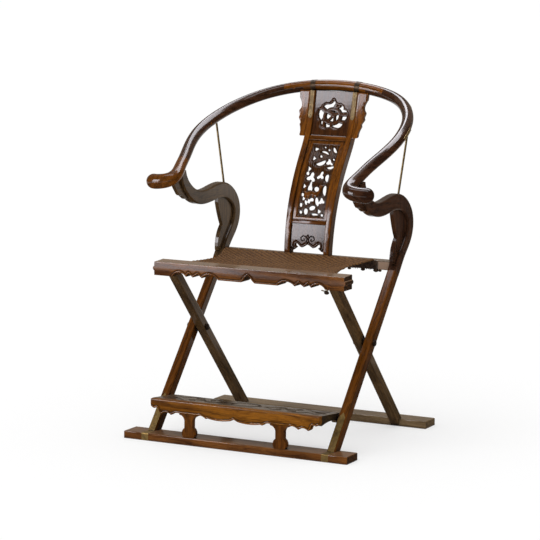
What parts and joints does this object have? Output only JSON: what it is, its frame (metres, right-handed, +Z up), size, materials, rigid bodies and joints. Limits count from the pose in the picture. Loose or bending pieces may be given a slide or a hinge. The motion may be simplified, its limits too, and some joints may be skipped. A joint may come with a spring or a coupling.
{
  "type": "folding horseshoe chair",
  "caption": "Folding wooden armchair with crossed pivoting legs, a horseshoe rail ending in curled grips, a carved back splat, a woven cord seat and a hinged footrest.",
  "frame": {"origin": "on the floor, under the middle of the open chair's box", "axes": "+X to the sitter's left as seen from the front, the right of a viewer who faces the chair; -Y to the front of the chair; +Z up"},
  "size_m": [0.675, 0.6244, 0.9465],
  "materials": {
    "hardwood": "polished, dark reddish brown, worn lighter on the edges",
    "woven_cord": "matt brown cord in a close weave",
    "aged_brass": "dull aged brass",
    "dark_iron": "blackened, half matt"
  },
  "bodies": {
    "back_frame": {"apron_panel": "hardwood", "arm_post_left": "hardwood", "arm_post_right": "hardwood", "arm_rail_left": "hardwood", "arm_rail_right": "hardwood", "base_bands": "aged_brass", "carved_panel": "hardwood", "crest_bands": "aged_brass", "crest_rail": "hardwood", "front_base_rail": "hardwood", "goose_neck_left": "hardwood", "goose_neck_right": "hardwood", "grip_spandrel_left": "hardwood", "grip_spandrel_right": "hardwood", "hand_grip_left": "hardwood", "hand_grip_right": "hardwood", "joint_plates": "aged_brass", "leg_straps": "aged_brass", "long_leg_left": "hardwood", "long_leg_right": "hardwood", "medallion_panel": "hardwood", "pivot_pins": "dark_iron", "pivot_washers": "dark_iron", "post_spandrel_left": "hardwood", "post_spandrel_right": "hardwood", "rear_seat_rail": "hardwood", "scarf_pins": "hardwood", "seat_webbing": "woven_cord", "shoulder_rail_left": "hardwood", "shoulder_rail_right": "hardwood", "splat_lower_bar": "hardwood", "splat_stile_left": "hardwood", "splat_stile_right": "hardwood", "splat_straps": "aged_brass", "splat_upper_bar": "hardwood", "splat_wing_left": "hardwood", "splat_wing_right": "hardwood", "tie_rod_left": "aged_brass", "tie_rod_right": "aged_brass"},
    "seat_frame": {"front_seat_rail": "hardwood", "short_leg_left": "hardwood", "short_leg_right": "hardwood", "rear_base_rail": "hardwood"},
    "footrest": {"footrest_board": "hardwood", "footrest_apron": "hardwood", "footrest_side_left": "hardwood", "footrest_side_right": "hardwood", "footrest_foot_left": "hardwood", "footrest_foot_right": "hardwood", "footrest_pins": "dark_iron"}
  },
  "joints": [
    {"name": "fold", "type": "hinge", "parent": "back_frame", "child": "seat_frame", "pos_m": [0, -0.04144, 0.274], "axis": [-1, 0, 0], "range_deg": [0, 66], "deforming": ["seat_webbing"]},
    {"name": "footrest_lift", "type": "hinge", "parent": "back_frame", "child": "footrest", "pos_m": [0, -0.19748, 0.09], "axis": [-1, 0, 0], "range_deg": [0, 105]}
  ]
}
